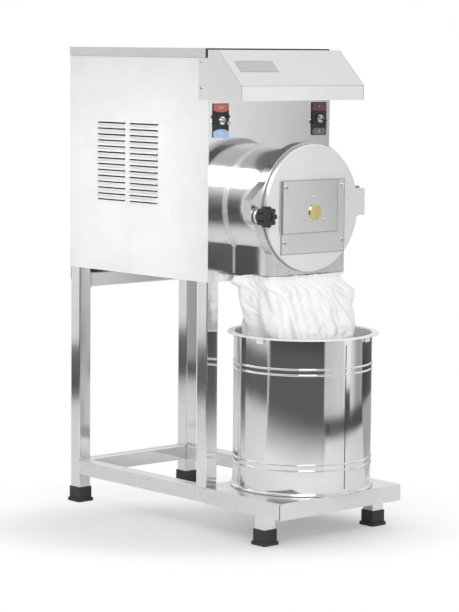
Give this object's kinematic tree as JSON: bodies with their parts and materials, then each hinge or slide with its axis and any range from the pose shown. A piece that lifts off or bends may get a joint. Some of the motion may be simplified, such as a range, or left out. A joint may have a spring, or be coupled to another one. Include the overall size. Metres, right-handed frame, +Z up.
{
  "type": "domestic flour mill",
  "caption": "Stainless flour mill on a square-tube stand with a hinged lid, hammer chamber behind a round door, cloth sleeve and flour drum.",
  "frame": {"origin": "middle of the bounding box on the floor", "axes": "+Z up, front with the door and the drum towards -Y, +X to the right as seen from the front"},
  "size_m": [0.368, 0.7344, 1.028],
  "materials": {
    "polished_steel": "mirror-polished stainless sheet and tube",
    "satin_steel": "fine satin stainless sheet",
    "cast_aluminium": "machined and polished casting",
    "dark_steel": "plain machined steel",
    "black_rubber": "matt moulded rubber",
    "black_plastic": "moulded black plastic",
    "brass": "turned brass",
    "white_cloth": "woven white cotton",
    "motor_paint": "grey enamel"
  },
  "bodies": {
    "stand": {"rear_leg_left": "polished_steel", "rear_leg_right": "polished_steel", "front_leg_left": "polished_steel", "front_leg_right": "polished_steel", "base_rail_left": "polished_steel", "base_rail_right": "polished_steel", "base_rail_rear": "polished_steel", "platform_cross_rails": "polished_steel", "platform_pan": "polished_steel", "front_stubs": "polished_steel", "rubber_feet": "black_rubber", "upper_rail_rear": "polished_steel", "upper_rails_side": "polished_steel", "motor_plate": "satin_steel", "side_panel_left": "satin_steel", "side_panel_right": "satin_steel", "rear_panel": "satin_steel", "front_panel": "polished_steel", "hood": "satin_steel", "cable_gland": "black_plastic", "hopper": "satin_steel", "feed_elbow": "satin_steel", "lid_hinge_fixed": "polished_steel", "lid_hinge_pins": "dark_steel", "switch_plate_left": "black_plastic", "switch_plate_right": "black_plastic", "switch_collars": "polished_steel", "chamber_back_plate": "polished_steel", "chamber_shell": "polished_steel", "front_flange": "cast_aluminium", "outlet_collar": "polished_steel", "grinding_screen": "dark_steel", "motor_body": "motor_paint", "motor_bearings": "polished_steel", "fan_cowl": "motor_paint", "run_capacitor": "satin_steel", "door_hinge_pin": "dark_steel", "filter_bag": "white_cloth"},
    "lid": {"lid": "satin_steel", "lid_grip": "black_plastic", "lid_hinge_moving": "polished_steel"},
    "door": {"door": "polished_steel", "door_seal": "black_rubber", "door_cover_plate": "satin_steel", "door_sight_plate": "polished_steel", "door_cap": "brass"},
    "knob": {"star_knob": "black_plastic", "knob_stud": "polished_steel"},
    "toggle_left": {"switch_toggle_left": "polished_steel"},
    "toggle_right": {"switch_toggle_right": "polished_steel"},
    "rotor": {"motor_shaft": "dark_steel", "beater": "dark_steel", "beater_cap": "brass", "motor_fan": "black_plastic"},
    "gate": {"hopper_gate": "polished_steel"},
    "drum": {"drum_shell": "polished_steel", "drum_rim": "satin_steel", "drum_base": "polished_steel"}
  },
  "joints": [
    {"name": "lid_hinge", "type": "hinge", "parent": "stand", "child": "lid", "pos_m": [0, 0.36273, 1.0085], "axis": [-1, 0, 0], "range_deg": [0, 95]},
    {"name": "door_hinge", "type": "hinge", "parent": "stand", "child": "door", "pos_m": [0.148, -0.22307, 0.703], "axis": [0, 0, 1], "range_deg": [0, 110]},
    {"name": "knob_spin", "type": "hinge", "parent": "door", "child": "knob", "pos_m": [-0.148, -0.24207, 0.683], "axis": [0, 1, 0], "continuous": true},
    {"name": "toggle_left_flip", "type": "hinge", "parent": "stand", "child": "toggle_left", "pos_m": [-0.144, -0.11407, 0.877], "axis": [-1, 0, 0], "range_deg": [0, 30]},
    {"name": "toggle_right_flip", "type": "hinge", "parent": "stand", "child": "toggle_right", "pos_m": [0.144, -0.11407, 0.877], "axis": [-1, 0, 0], "range_deg": [0, 30]},
    {"name": "rotor_spin", "type": "hinge", "parent": "stand", "child": "rotor", "pos_m": [0, -0.10807, 0.694], "axis": [0, 1, 0], "continuous": true},
    {"name": "gate_slide", "type": "slide", "parent": "stand", "child": "gate", "axis": [0, 1, 0], "range_m": [0, 0.055]},
    {"name": "drum_slide", "type": "slide", "parent": "stand", "child": "drum", "axis": [0, -1, 0], "range_m": [0, 0.35], "deforming": ["filter_bag"]}
  ]
}
